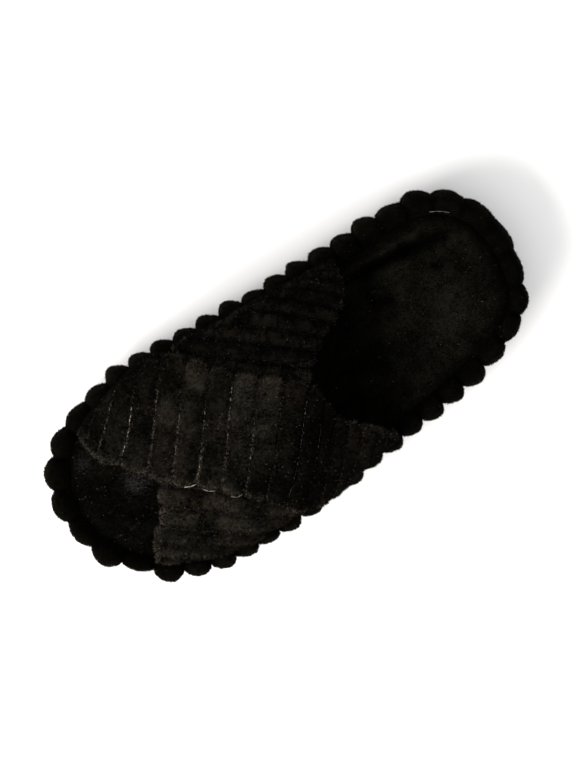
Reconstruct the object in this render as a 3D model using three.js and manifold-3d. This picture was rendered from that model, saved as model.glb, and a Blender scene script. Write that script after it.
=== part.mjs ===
// Crossed-strap plush slipper, left shoe: outsole, ribbed binding, padded insole and an upper of two straps.
// Millimetres. +X is the toe, +Y the outer (little-toe) side, +Z up, the floor at z = 0.

import * as THREE from 'three';
import { mergeVertices } from 'three/addons/utils/BufferGeometryUtils.js';
import Module from 'manifold-3d';

const wasm = await Module();
wasm.setup();

// Overall plan, measured over the tips of the binding's puffs
const soleLength = 265;
const soleWidth = 117.8;

// Platform
const outsoleThick = 9;
const bindingHeight = 18;
const bindingWidth = 11;
const creaseShare = 0.78;      // height of the seam between binding and insole, as a share of the binding
const heelWedge = 4;           // how much thicker the padding is at the heel than at the ball
const toeSpring = 6;
const heelSpring = 1.2;
const archHollow = 2;
const soleSetback = 4.6;       // outsole edge behind the tips of the puffs
const soleEdgeRound = 2;       // how far the outsole's foot is drawn in
const fitGap = 0.3;

// Puffs of the binding
const puffCount = 44;
const puffDepth = 3.8;         // how far the stitched valleys lie behind the tips
const puffDip = 2.4;           // how far the valleys lie below the crests on top
const endStretch = 1.42;       // puffs round toe and heel are wider than those along the sides
const sideZone = 0.2;          // share of the length, from the middle, where puffs keep their side width
const puffFullness = 0.6;      // 1 is a plain arc, less is fuller with sharper valleys
const puffSteps = [0, 0.14, 0.38, 0.62, 0.86];

// Ribbed plush
const ribPitch = 12.7;
const insoleRibRaise = 1.1;
const insoleCrown = 2.6;
const insoleRoll = 12;         // width over which the insole rounds down to its seam
const heelRibShare = 0.45;     // the insole's ribs are trodden flatter under the heel
const insoleRows = 34;

// Straps
const strapWall = 4;
const strapRibRaise = 2.3;
const strapEdgePuff = 1.3;     // how far a rib's rounded end stands past the stitched valley
const archHeight = 52;         // seam to the middle of the wall, at the highest section
const archBulge = 9;
const archPower = 2.2;         // 2 is an ellipse, more is squarer
const strapTuck = 7;           // length of strap held between binding and insole
const strapPress = 6;          // height above the seam over which the ribs are pressed flat
const strapSink = 0.9;         // how far the over strap is sewn into the under strap

// Where the foot's zones begin, as shares of the length from the heel
const heelFlatFrom = 0.08;
const heelFlatTo = 0.34;
const waistFrom = 0.42;
const waistTo = 0.47;
const ballFlatFrom = 0.57;
const ballFlatTo = 0.77;

// Plan of the slipper: along from the heel as a share of the length, across as a share of the width
const plan = [
  { along: 0.001, across: -0.035 },
  { along: 0.026, across: 0.190 },
  { along: 0.076, across: 0.293 },
  { along: 0.135, across: 0.347 },
  { along: 0.245, across: 0.399 },
  { along: 0.350, across: 0.437 },
  { along: 0.456, across: 0.474 },
  { along: 0.592, across: 0.514 },
  { along: 0.693, across: 0.531 },
  { along: 0.791, across: 0.511 },
  { along: 0.851, across: 0.464 },
  { along: 0.902, across: 0.390 },
  { along: 0.950, across: 0.284 },
  { along: 0.986, across: 0.140 },
  { along: 0.999, across: -0.035 },
  { along: 0.984, across: -0.190 },
  { along: 0.939, across: -0.333 },
  { along: 0.883, across: -0.403 },
  { along: 0.829, across: -0.441 },
  { along: 0.718, across: -0.464 },
  { along: 0.541, across: -0.452 },
  { along: 0.376, across: -0.456 },
  { along: 0.188, across: -0.468 },
  { along: 0.124, across: -0.457 },
  { along: 0.062, across: -0.392 },
  { along: 0.017, across: -0.262 },
];

// One section of the binding, from its foot round the outside to the inner wall.
// inset and up are shares of the binding's width and height, dipIn and dipDown shares of the valley's dip.
const bindingProfile = [
  { inset: 0.42, up: 0.00, dipIn: 0.0, dipDown: 0.0 },
  { inset: 0.12, up: 0.14, dipIn: 0.7, dipDown: 0.0 },
  { inset: 0.00, up: 0.43, dipIn: 1.0, dipDown: 0.0 },
  { inset: 0.07, up: 0.73, dipIn: 0.9, dipDown: 0.3 },
  { inset: 0.32, up: 0.95, dipIn: 0.5, dipDown: 0.8 },
  { inset: 0.70, up: 1.00, dipIn: 0.0, dipDown: 1.0 },
  { inset: 1.00, up: 0.80, dipIn: 0.0, dipDown: 0.4 },
  { inset: 1.00, up: 0.00, dipIn: 0.0, dipDown: 0.0 },
];

// Side wall of the outsole, from the floor up: height as a share of its thickness, inset as a share of its round
const outsoleWall = [
  { up: 0.00, inset: 1.00 },
  { up: 0.16, inset: 0.25 },
  { up: 0.40, inset: 0.00 },
  { up: 0.48, inset: 0.40 },
  { up: 0.62, inset: 0.40 },
  { up: 0.70, inset: 0.00 },
  { up: 1.00, inset: 0.00 },
];

// Sections of the space under the straps: height and the bulges over the inner and the outer seam as shares
// of the arch's, lean of the crown towards the inner side as a share of the half width
const archSections = [
  { along: 0.30, height: 0.94, bulgeIn: 0.40, bulgeOut: 0.20, lean: 0.10 },
  { along: 0.47, height: 1.04, bulgeIn: 1.10, bulgeOut: 0.35, lean: 0.08 },
  { along: 0.56, height: 0.98, bulgeIn: 1.30, bulgeOut: 0.90, lean: 0.06 },
  { along: 0.66, height: 0.82, bulgeIn: 1.50, bulgeOut: 0.20, lean: 0.04 },
  { along: 0.74, height: 0.68, bulgeIn: 1.25, bulgeOut: -0.50, lean: 0.02 },
  { along: 0.80, height: 0.58, bulgeIn: 0.35, bulgeOut: -1.00, lean: 0.00 },
  { along: 0.87, height: 0.47, bulgeIn: -0.70, bulgeOut: -0.90, lean: 0.00 },
];

// Edges of each strap, one row for some of its ribs: along as a share of the length, turn as a share of the
// way from the crown to the outer seam (1) or the inner seam (-1), past which the strap runs straight down
const overStrap = {
  lift: { from: 2.0, full: 3.6, until: 9.2, to: 11.0 },
  rows: [
    { rib: -3, frontAlong: 0.877, frontTurn: -1.24, backAlong: 0.832, backTurn: -1.75 },
    { rib: 1, frontAlong: 0.867, frontTurn: -0.53, backAlong: 0.722, backTurn: -0.96 },
    { rib: 3, frontAlong: 0.799, frontTurn: -0.15, backAlong: 0.666, backTurn: -0.67 },
    { rib: 6, frontAlong: 0.695, frontTurn: 0.19, backAlong: 0.573, backTurn: -0.33 },
    { rib: 9, frontAlong: 0.610, frontTurn: 0.47, backAlong: 0.472, backTurn: -0.04 },
    { rib: 11, frontAlong: 0.570, frontTurn: 0.64, backAlong: 0.458, backTurn: 0.19 },
    { rib: 13, frontAlong: 0.518, frontTurn: 0.76, backAlong: 0.427, backTurn: 0.36 },
    { rib: 15, frontAlong: 0.482, frontTurn: 1.04, backAlong: 0.390, backTurn: 0.60 },
    { rib: 18, frontAlong: 0.455, frontTurn: 1.60, backAlong: 0.370, backTurn: 1.28 },
  ],
};
const underStrap = {
  lift: null,
  rows: [
    { rib: -2, frontAlong: 0.880, frontTurn: 1.26, backAlong: 0.763, backTurn: 1.75 },
    { rib: 1, frontAlong: 0.852, frontTurn: 0.54, backAlong: 0.719, backTurn: 0.92 },
    { rib: 3, frontAlong: 0.807, frontTurn: 0.16, backAlong: 0.616, backTurn: 0.66 },
    { rib: 6, frontAlong: 0.749, frontTurn: -0.28, backAlong: 0.532, backTurn: 0.33 },
    { rib: 9, frontAlong: 0.674, frontTurn: -0.59, backAlong: 0.480, backTurn: -0.06 },
    { rib: 12, frontAlong: 0.605, frontTurn: -0.83, backAlong: 0.409, backTurn: -0.25 },
    { rib: 15, frontAlong: 0.547, frontTurn: -1.22, backAlong: 0.342, backTurn: -0.41 },
    { rib: 17, frontAlong: 0.499, frontTurn: -1.45, backAlong: 0.325, backTurn: -0.62 },
    { rib: 20, frontAlong: 0.450, frontTurn: -1.70, backAlong: 0.318, backTurn: -1.22 },
  ],
};

// One section across a strap: across from front edge (-1) to back edge (1), face 1 outer, -1 inner
const strapLoop = [
  { across: -1.00, face: 0.0 },
  { across: -0.95, face: 0.75 },
  { across: -0.78, face: 1.0 },
  { across: -0.40, face: 1.0 },
  { across: 0.00, face: 1.0 },
  { across: 0.40, face: 1.0 },
  { across: 0.78, face: 1.0 },
  { across: 0.95, face: 0.75 },
  { across: 1.00, face: 0.0 },
  { across: 0.92, face: -1.0 },
  { across: 0.46, face: -1.0 },
  { across: 0.00, face: -1.0 },
  { across: -0.46, face: -1.0 },
  { across: -0.92, face: -1.0 },
];
const ribSteps = 3;            // samples along one rib: the valley and two on its back

const { smoothstep, lerp, clamp } = THREE.MathUtils;

// x of a share of the length, with x = 0 in the middle
function xAt(along) {
  return (along - 0.5) * soleLength;
}

function alongOf(x) {
  return x / soleLength + 0.5;
}

// Smooth value of one column of a table between its rows, held level past its ends
function readTable(rows, key, column, at) {
  const last = rows.length - 1;
  if (at <= rows[0][key]) return rows[0][column];
  if (at >= rows[last][key]) return rows[last][column];
  const i = rows.findIndex((row) => row[key] > at) - 1;
  const slope = (j) => {
    const before = rows[Math.max(j - 1, 0)];
    const after = rows[Math.min(j + 1, last)];
    return (after[column] - before[column]) / (after[key] - before[key]);
  };
  const span = rows[i + 1][key] - rows[i][key];
  const t = (at - rows[i][key]) / span;
  const a = rows[i][column];
  const b = rows[i + 1][column];
  const rise = 3 * t * t - 2 * t * t * t;
  const leave = t * (1 - t) * (1 - t) * span * slope(i);
  const arrive = t * t * (t - 1) * span * slope(i + 1);
  return a + (b - a) * rise + leave + arrive;
}

// Sole lines

const seamHeight = outsoleThick + fitGap + creaseShare * bindingHeight;

// Height that the toe spring and the heel's curve add everywhere above a point of the floor
function springAt(x) {
  const toe = Math.max(0, (alongOf(x) - ballFlatTo) / (1 - ballFlatTo));
  const heel = Math.max(0, (heelFlatFrom - alongOf(x)) / heelFlatFrom);
  return toeSpring * toe * toe + heelSpring * heel * heel;
}

// Lifts a point of the straight model: the sole's spring, and the wedge of padding above the outsole
function settle(x, y, z) {
  const wedge = heelWedge * (1 - smoothstep(alongOf(x), heelFlatTo, ballFlatTo));
  const padding = clamp((z - outsoleThick - fitGap) / (seamHeight - outsoleThick - fitGap), 0, 1);
  return new THREE.Vector3(x, y, z + springAt(x) + wedge * padding);
}

// Plan outline as many short steps, each with its outward normal
const outlineSteps = 720;
const outlineCurve = new THREE.CatmullRomCurve3(
  plan.map((row) => new THREE.Vector3(xAt(row.along), row.across * soleWidth, 0)),
  true,
  'centripetal',
);
const outline = outlineCurve.getSpacedPoints(outlineSteps).slice(0, outlineSteps);
const outlineNormals = outline.map((point, i) => {
  const ahead = outline[(i + 1) % outlineSteps];
  const behind = outline[(i + outlineSteps - 1) % outlineSteps];
  const way = ahead.clone().sub(behind).normalize();
  return new THREE.Vector3(-way.y, way.x, 0);
});

// The outline moved inwards, and the two widths that it has at any x
function insetOutline(inset) {
  const points = outline.map((point, i) => point.clone().addScaledVector(outlineNormals[i], -inset));
  const heel = Math.min(...points.map((point) => point.x));
  const toe = Math.max(...points.map((point) => point.x));
  const widthsAt = (x) => {
    let inner = Infinity;
    let outer = -Infinity;
    points.forEach((a, i) => {
      const b = points[(i + 1) % outlineSteps];
      if ((a.x - x) * (b.x - x) > 0 || a.x === b.x) return;
      const y = lerp(a.y, b.y, (x - a.x) / (b.x - a.x));
      inner = Math.min(inner, y);
      outer = Math.max(outer, y);
    });
    return { inner, outer };
  };
  return { points, heel, toe, widthsAt };
}

// Solids

// Skin over a row of closed loops with equal numbers of points. A ring joins its last loop to its first.
function skin(loops, isRing) {
  const count = loops[0].length;
  const positions = loops.flat().flatMap((point) => [point.x, point.y, point.z]);
  const faces = [];
  const spans = isRing ? loops.length : loops.length - 1;
  for (let i = 0; i < spans; i += 1) {
    const here = i * count;
    const next = ((i + 1) % loops.length) * count;
    for (let j = 0; j < count; j += 1) {
      const k = (j + 1) % count;
      faces.push(here + j, next + j, next + k, here + j, next + k, here + k);
    }
  }
  if (!isRing) {
    const end = spans * count;
    for (let j = 1; j < count - 1; j += 1) {
      faces.push(0, j, j + 1, end, end + j + 1, end + j);
    }
  }
  return outward(positions, faces);
}

// Level rings stacked upwards, each running heel, outer side, toe, inner side, with its caps in strips
function stack(rings) {
  const count = rings[0].length;
  const positions = rings.flat().flatMap((point) => [point.x, point.y, point.z]);
  const faces = [];
  for (let i = 0; i < rings.length - 1; i += 1) {
    for (let j = 0; j < count; j += 1) {
      const a = i * count + j;
      const b = i * count + ((j + 1) % count);
      faces.push(a, b, b + count, a, b + count, a + count);
    }
  }
  const top = (rings.length - 1) * count;
  for (let j = 0; j < count / 2; j += 1) {
    const a = j;
    const b = j + 1;
    const c = (count - j - 1) % count;
    const d = (count - j) % count;
    if (a !== d) {
      faces.push(a, d, c, top + a, top + c, top + d);
    }
    if (b !== c) {
      faces.push(a, c, b, top + a, top + b, top + c);
    }
  }
  return outward(positions, faces);
}

// Geometry of a closed body with its faces turned outwards
function outward(positions, faces) {
  let volume = 0;
  for (let i = 0; i < faces.length; i += 3) {
    const [a, b, c] = [0, 1, 2].map((k) => new THREE.Vector3().fromArray(positions, faces[i + k] * 3));
    volume += a.dot(b.cross(c)) / 6;
  }
  const turned = volume < 0 ? faces.slice().reverse() : faces;
  const geometry = new THREE.BufferGeometry();
  geometry.setAttribute('position', new THREE.Float32BufferAttribute(positions, 3));
  geometry.setIndex(turned);
  return geometry;
}

function toSolid(geometry) {
  const merged = mergeVertices(geometry, 1e-4);
  return new wasm.Manifold(new wasm.Mesh({
    numProp: 3,
    vertProperties: new Float32Array(merged.attributes.position.array),
    triVerts: new Uint32Array(merged.index.array),
  }));
}

function toGeometry(solid) {
  const mesh = solid.getMesh();
  const geometry = new THREE.BufferGeometry();
  geometry.setAttribute('position', new THREE.Float32BufferAttribute(mesh.vertProperties, 3));
  geometry.setIndex(new THREE.Uint32BufferAttribute(mesh.triVerts, 1));
  return geometry;
}

// A level ring of the sole: stations bunched towards heel and toe, where the plan turns
const ringStations = 48;

function levelRing(edge, place) {
  const ring = [];
  for (let j = 0; j <= ringStations; j += 1) {
    const x = lerp(edge.heel, edge.toe, (1 - Math.cos((Math.PI * j) / ringStations)) / 2);
    const ends = edge.widthsAt(clamp(x, edge.heel + 1e-3, edge.toe - 1e-3));
    const isEnd = j === 0 || j === ringStations;
    const middle = (ends.inner + ends.outer) / 2;
    ring[j] = place(x, isEnd ? middle : ends.outer);
    if (!isEnd) {
      ring[2 * ringStations - j] = place(x, ends.inner);
    }
  }
  return ring;
}

// Outsole

function makeOutsole() {
  const rings = outsoleWall.map(({ up, inset }) => {
    const edge = insetOutline(soleSetback + inset * soleEdgeRound);
    return levelRing(edge, (x, y) => {
      const along = alongOf(x);
      const waist = smoothstep(along, heelFlatTo, waistFrom) * (1 - smoothstep(along, waistTo, ballFlatFrom));
      const hollow = archHollow * waist * (1 - up);
      return settle(x, y, up * outsoleThick + hollow);
    });
  });
  return stack(rings);
}

// Binding

// Places along the outline where the puffs' seams and backs fall. Puffs round the ends are stretched.
function puffPhases() {
  const weights = outline.map((point) => {
    const end = smoothstep(Math.abs(alongOf(point.x) - 0.5), sideZone, 0.5);
    return 1 / lerp(1, endStretch, end);
  });
  const total = weights.reduce((sum, weight) => sum + weight, 0);
  let sum = 0;
  return weights.map((weight) => {
    const phase = (sum / total) * puffCount;
    sum += weight;
    return phase;
  });
}

function makeBinding(slot) {
  const phases = [...puffPhases(), puffCount];
  const loops = [];
  let i = 0;
  for (let puff = 0; puff < puffCount; puff += 1) {
    for (const step of puffSteps) {
      const phase = puff + step;
      while (phases[i + 1] <= phase) i += 1;
      const t = (phase - phases[i]) / (phases[i + 1] - phases[i]);
      const j = (i + 1) % outlineSteps;
      const point = outline[i].clone().lerp(outline[j], t);
      const normal = outlineNormals[i].clone().lerp(outlineNormals[j], t).normalize();
      const dip = 1 - Math.sin(Math.PI * step) ** puffFullness;
      loops.push(bindingProfile.map(({ inset, up, dipIn, dipDown }) => {
        const inward = inset * bindingWidth + dip * dipIn * puffDepth;
        const place = point.clone().addScaledVector(normal, -inward);
        return settle(place.x, place.y, outsoleThick + fitGap + up * bindingHeight - dip * dipDown * puffDip);
      }));
    }
  }
  return toGeometry(toSolid(skin(loops, true)).subtract(slot));
}

// Insole

function makeInsole(slot) {
  const edge = insetOutline(bindingWidth + fitGap);
  const cutter = toSolid(stack([-1, 1].map((level) => (
    levelRing(edge, (x, y) => new THREE.Vector3(x, y, level * soleLength))
  ))));
  const ribsEachWay = Math.ceil(soleWidth / 2 / ribPitch);
  const columns = [];
  for (let j = -ribsEachWay * ribSteps; j <= ribsEachWay * ribSteps; j += 1) {
    columns.push(j / ribSteps);
  }
  const loops = [];
  for (let i = 0; i <= insoleRows; i += 1) {
    const x = lerp(edge.heel - fitGap, edge.toe + fitGap, i / insoleRows);
    const tread = lerp(heelRibShare, 1, smoothstep(alongOf(x), heelFlatTo, ballFlatFrom));
    const top = columns.map((column) => {
      const y = column * ribPitch;
      const here = new THREE.Vector3(x, y, 0);
      const reach = Math.min(...edge.points.map((point) => point.distanceTo(here)));
      const round = Math.sin((Math.PI / 2) * Math.min(1, reach / insoleRoll));
      const isValley = Number.isInteger(column);
      const rib = isValley ? 0 : insoleRibRaise * tread;
      return settle(x, y, seamHeight + (insoleCrown + rib) * round - insoleRibRaise);
    });
    const bottom = [ribsEachWay, -ribsEachWay].map((side) => settle(x, side * ribPitch, outsoleThick + fitGap));
    loops.push([...top, ...bottom]);
  }
  const pad = toSolid(skin(loops, false));
  return toGeometry(pad.intersect(cutter).subtract(slot));
}

// Upper

const seamEdge = insetOutline(bindingWidth);

// Point on the middle of the strap wall: turn 0 at the crown, 1 and -1 at the seams
const archSteps = 24;

function archPoint(x, turn) {
  const ends = seamEdge.widthsAt(x);
  const along = alongOf(x);
  const half = (ends.outer - ends.inner) / 2;
  const crown = (ends.outer + ends.inner) / 2 - readTable(archSections, 'along', 'lean', along) * half;
  const side = Math.sign(turn) || 1;
  const reach = side > 0 ? ends.outer - crown : crown - ends.inner;
  const height = archHeight * readTable(archSections, 'along', 'height', along);
  const bulge = archBulge * readTable(archSections, 'along', side > 0 ? 'bulgeOut' : 'bulgeIn', along);
  const quarter = [];
  for (let i = 0; i <= archSteps; i += 1) {
    const angle = ((Math.PI / 2) * i) / archSteps;
    quarter.push({
      out: reach * Math.sin(angle) ** (2 / archPower) + bulge * Math.sin(2 * angle) * Math.sin(angle),
      up: height * Math.cos(angle) ** (2 / archPower),
    });
  }
  const lengths = [0];
  for (let i = 1; i <= archSteps; i += 1) {
    const { out, up } = quarter[i];
    lengths.push(lengths[i - 1] + Math.hypot(out - quarter[i - 1].out, up - quarter[i - 1].up));
  }
  const total = lengths[archSteps];
  const target = Math.abs(turn) * total;
  if (target >= total) {
    return new THREE.Vector3(x, crown + side * reach, total - target);
  }
  const k = lengths.findIndex((length) => length > target);
  const t = (target - lengths[k - 1]) / (lengths[k] - lengths[k - 1]);
  const out = lerp(quarter[k - 1].out, quarter[k].out, t);
  const up = lerp(quarter[k - 1].up, quarter[k].up, t);
  return new THREE.Vector3(x, crown + side * out, up);
}

// The same point with the outward normal of the wall
function archFrame(x, turn) {
  const stepX = 1;
  const stepTurn = 0.02;
  const alongX = archPoint(x + stepX, turn).sub(archPoint(x - stepX, turn));
  const alongTurn = archPoint(x, turn + stepTurn).sub(archPoint(x, turn - stepTurn));
  return { point: archPoint(x, turn), normal: alongX.cross(alongTurn).normalize() };
}

// One strap, grown all round by a clearance when it stands for its own slot
function makeStrap({ lift, rows }, grow) {
  const first = rows[0].rib;
  const last = rows[rows.length - 1].rib;
  const loops = [];
  for (let i = 0; i <= (last - first) * ribSteps; i += 1) {
    const rib = first + i / ribSteps;
    const read = (column) => readTable(rows, 'rib', column, rib);
    const front = { x: xAt(read('frontAlong')), turn: read('frontTurn') };
    const back = { x: xAt(read('backAlong')), turn: read('backTurn') };
    const isValley = i % ribSteps === 0;
    const width = archPoint(front.x, front.turn).distanceTo(archPoint(back.x, back.turn));
    const puff = ((isValley ? 0 : strapEdgePuff) + grow) / (width / 2);
    const raise = lift
      ? smoothstep(rib, lift.from, lift.full) * (1 - smoothstep(rib, lift.until, lift.to))
      : 0;
    loops.push(strapLoop.map(({ across, face }) => {
      const share = (across * (1 + puff) + 1) / 2;
      const { point, normal } = archFrame(lerp(front.x, back.x, share), lerp(front.turn, back.turn, share));
      const pressed = smoothstep(point.z, 0, strapPress);
      const ribbing = isValley || face <= 0 ? 0 : strapRibRaise * pressed * face;
      const off = face * (strapWall / 2 + grow) + ribbing + raise * (strapWall - strapSink);
      const place = point.addScaledVector(normal, off);
      return settle(place.x, place.y, seamHeight + place.z);
    }));
  }
  return toSolid(skin(loops, false));
}

// Everything below the depth that the straps reach into the seam
function belowTuck(depth) {
  const loops = [];
  const spans = 30;
  const margin = 20;
  for (let i = 0; i <= spans; i += 1) {
    const x = lerp(-soleLength / 2 - margin, soleLength / 2 + margin, i / spans);
    const half = soleWidth / 2 + margin;
    const top = seamHeight - depth;
    loops.push([
      settle(x, -half, top),
      settle(x, half, top),
      new THREE.Vector3(x, half, -soleLength),
      new THREE.Vector3(x, -half, -soleLength),
    ]);
  }
  return toSolid(skin(loops, false));
}

function makeUpper(grow) {
  const straps = makeStrap(overStrap, grow).add(makeStrap(underStrap, grow));
  return straps.subtract(belowTuck(strapTuck + grow));
}

// Assembly

function addPiece(group, name, geometry, color, roughness) {
  geometry.computeVertexNormals();
  const material = new THREE.MeshStandardMaterial({ color, roughness, metalness: 0 });
  const mesh = new THREE.Mesh(geometry, material);
  mesh.name = name;
  group.add(mesh);
}

const slipper = new THREE.Group();
const strapSlot = makeUpper(fitGap);
addPiece(slipper, 'outsole', makeOutsole(), 0x141312, 0.7);
addPiece(slipper, 'binding', makeBinding(strapSlot), 0x0d0b0a, 1);
addPiece(slipper, 'insole', makeInsole(strapSlot), 0x14100e, 1);
addPiece(slipper, 'upper', toGeometry(makeUpper(0)), 0x1c1714, 1);

// Origin: middle of the footprint's box, on the floor
const box = new THREE.Box3().setFromObject(slipper);
const centre = box.getCenter(new THREE.Vector3());
slipper.position.set(-centre.x, -centre.y, -box.min.z);

export default slipper;
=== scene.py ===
import math
from functools import partial

import bpy
import numpy as np
from mathutils import Matrix, Vector
from mathutils.bvhtree import BVHTree


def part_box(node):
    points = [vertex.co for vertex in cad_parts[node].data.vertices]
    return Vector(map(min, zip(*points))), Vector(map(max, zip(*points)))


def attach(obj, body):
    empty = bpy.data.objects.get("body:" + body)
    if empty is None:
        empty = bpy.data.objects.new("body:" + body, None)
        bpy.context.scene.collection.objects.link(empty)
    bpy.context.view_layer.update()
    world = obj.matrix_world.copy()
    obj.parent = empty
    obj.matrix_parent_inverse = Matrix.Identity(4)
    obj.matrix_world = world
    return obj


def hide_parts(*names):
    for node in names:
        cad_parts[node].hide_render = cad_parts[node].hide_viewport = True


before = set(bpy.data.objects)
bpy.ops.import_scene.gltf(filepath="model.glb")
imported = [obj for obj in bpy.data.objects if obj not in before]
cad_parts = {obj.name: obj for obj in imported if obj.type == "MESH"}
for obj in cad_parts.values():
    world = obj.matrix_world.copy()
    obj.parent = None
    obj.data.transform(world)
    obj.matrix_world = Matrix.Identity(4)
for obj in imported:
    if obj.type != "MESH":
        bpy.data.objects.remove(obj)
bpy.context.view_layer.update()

mm = 0.001

# Slipper: sizes in millimetres that every piece follows, +X toe, +Y outer side, +Z up

slipper = {
    "length": 265.0,
    "width": 117.8,
    "outsoleThick": 9.0,
    "gap": 0.3,
    "pressReach": 6.0,
    "bindingWidth": 11.0,
    "bindingHeight": 18.0,
    "creaseShare": 0.78,
    "soleSetback": 4.6,
    "heelWedge": 4.0,
    "toeSpring": 6.0,
    "heelSpring": 1.2,
    "ribPitch": 12.7,
    "heelFlat": (0.08, 0.34),
    "ballFlat": (0.57, 0.77),
    "waist": (0.42, 0.47),
    "archHollow": 2.0,
    # outline over the tips of the puffs: along as a share of length, across as a share of width
    "plan": [
        (0.001, -0.035), (0.026, 0.190), (0.076, 0.293), (0.135, 0.347), (0.245, 0.399), (0.350, 0.437),
        (0.456, 0.474), (0.592, 0.514), (0.693, 0.531), (0.791, 0.511), (0.851, 0.464), (0.902, 0.390),
        (0.950, 0.284), (0.986, 0.140), (0.999, -0.035), (0.984, -0.190), (0.939, -0.333), (0.883, -0.403),
        (0.829, -0.441), (0.718, -0.464), (0.541, -0.452), (0.376, -0.456), (0.188, -0.468), (0.124, -0.457),
        (0.062, -0.392), (0.017, -0.262),
    ],
}
seamHeight = slipper["outsoleThick"] + slipper["gap"] + slipper["creaseShare"] * slipper["bindingHeight"]


def smoothStep(low, high, value):
    t = np.clip((np.asarray(value, float) - low) / (high - low), 0, 1)
    return t * t * (3 - 2 * t)


def mix(a, b, t):
    return a + (b - a) * t


def unit(vectors):
    return vectors / np.linalg.norm(vectors, axis=-1, keepdims=True)


def closed(row):
    return np.vstack([row, row[:1]])


def lengthsOf(row):  # how far along a row of points each of them lies
    return np.concatenate([[0], np.cumsum(np.linalg.norm(np.diff(row, axis=0), axis=1))])


def alongRow(at, lengths, row):
    return np.stack([np.interp(at, lengths, column) for column in row.T], axis=-1)


def alongOf(x):
    return x / slipper["length"] + 0.5


def readTable(table, key, column, at):  # a smooth curve through one column of a table
    keys = np.array(table[key], float)
    values = np.array(table[column], float)
    at = np.clip(np.asarray(at, float), keys[0], keys[-1])
    i = np.clip(np.searchsorted(keys, at, side="right") - 1, 0, len(keys) - 2)
    slope = np.empty_like(values)
    slope[1:-1] = (values[2:] - values[:-2]) / (keys[2:] - keys[:-2])
    slope[0] = (values[1] - values[0]) / (keys[1] - keys[0])
    slope[-1] = (values[-1] - values[-2]) / (keys[-1] - keys[-2])
    span = keys[i + 1] - keys[i]
    t = (at - keys[i]) / span
    bend = t * (1 - t) ** 2 * slope[i] + t * t * (t - 1) * slope[i + 1]
    return mix(values[i], values[i + 1], 3 * t * t - 2 * t ** 3) + bend * span


def settle(points):  # the sole's toe spring, and the wedge of padding above the outsole
    points = np.array(points, float)
    along = alongOf(points[:, 0])
    toe = np.maximum(0, (along - slipper["ballFlat"][1]) / (1 - slipper["ballFlat"][1]))
    heel = np.maximum(0, (slipper["heelFlat"][0] - along) / slipper["heelFlat"][0])
    wedge = slipper["heelWedge"] * (1 - smoothStep(slipper["heelFlat"][1], slipper["ballFlat"][1], along))
    base = slipper["outsoleThick"] + slipper["gap"]
    padding = np.clip((points[:, 2] - base) / (seamHeight - base), 0, 1)
    points[:, 2] += slipper["toeSpring"] * toe ** 2 + slipper["heelSpring"] * heel ** 2 + wedge * padding
    return points


def outlineCurve():  # closed centripetal curve through the plan, in even steps
    places = np.array([((a - 0.5) * slipper["length"], b * slipper["width"]) for a, b in slipper["plan"]])
    t = np.linspace(0, 1, 60, endpoint=False)[:, None]
    runs = []
    for i in range(len(places)):
        p0, p1, p2, p3 = (places[(i + k) % len(places)] for k in (-1, 0, 1, 2))
        d0, d1, d2 = (math.sqrt(np.linalg.norm(b - a)) for a, b in ((p0, p1), (p1, p2), (p2, p3)))
        m1 = ((p1 - p0) / d0 - (p2 - p0) / (d0 + d1) + (p2 - p1) / d1) * d1
        m2 = ((p2 - p1) / d1 - (p3 - p1) / (d1 + d2) + (p3 - p2) / d2) * d1
        runs.append(p1 + m1 * t + (3 * (p2 - p1) - 2 * m1 - m2) * t ** 2 + (2 * (p1 - p2) + m1 + m2) * t ** 3)
    ring = closed(np.vstack(runs))
    lengths = lengthsOf(ring)
    return alongRow(np.linspace(0, lengths[-1], 720, endpoint=False), lengths, ring)


outline = outlineCurve()
outlineWay = unit(np.roll(outline, -1, 0) - np.roll(outline, 1, 0))
outlineOut = np.stack([-outlineWay[:, 1], outlineWay[:, 0]], axis=1)


def insetOutline(inset):
    return outline - outlineOut * inset


def widthsAt(edge, x):  # the y of the inner and the outer side of a closed edge
    heel, toe = int(edge[:, 0].argmin()), int(edge[:, 0].argmax())
    ring = np.roll(edge, -heel, 0)
    turn = (toe - heel) % len(edge)
    return [np.interp(x, *side.T) for side in (closed(ring)[turn:][::-1], ring[:turn + 1])]


def reachTo(edge, places):  # distance in plan from each place to a closed edge
    reach = np.empty(len(places))
    for start in range(0, len(places), 4000):
        part = places[start:start + 4000, None, :2]
        reach[start:start + 4000] = np.sqrt(((part - edge[None]) ** 2).sum(2).min(1))
    return reach


def swell(points, size, seed):  # smooth random waves between about -1 and 1
    waves = np.random.default_rng(seed)
    total = np.zeros(len(points))
    for _ in range(7):
        way = waves.normal(size=3)
        way /= np.linalg.norm(way)
        total += np.sin(points @ way * (2 * math.pi / size) * waves.uniform(0.6, 1.5) + waves.uniform(0, 6.3))
    return total / 3.2


def patchy(places, cells, waves):  # random light and dark between -1 and 1 over the cells of a cloth
    columns, rows = cells
    values = waves.uniform(-1, 1, (columns + 2, rows + 2))
    x, y = places[:, 0] * columns, places[:, 1] * rows
    i, j = x.astype(int), y.astype(int)
    low = mix(values[i, j], values[i + 1, j], x - i)
    high = mix(values[i, j + 1], values[i + 1, j + 1], x - i)
    return mix(low, high, y - j)


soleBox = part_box("outsole")
soleEdge = insetOutline(slipper["soleSetback"])
planShift = np.array([
    (soleBox[0][k] + soleBox[1][k]) / 2 / mm - (soleEdge[:, k].min() + soleEdge[:, k].max()) / 2
    for k in (0, 1)
] + [0.0])


def toWorld(points):  # settled millimetres of the straight model to metres in the frame
    return (settle(points) + planShift) * mm


# Blanks: every sewn piece starts as a flat grid and is draped to its shape

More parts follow.
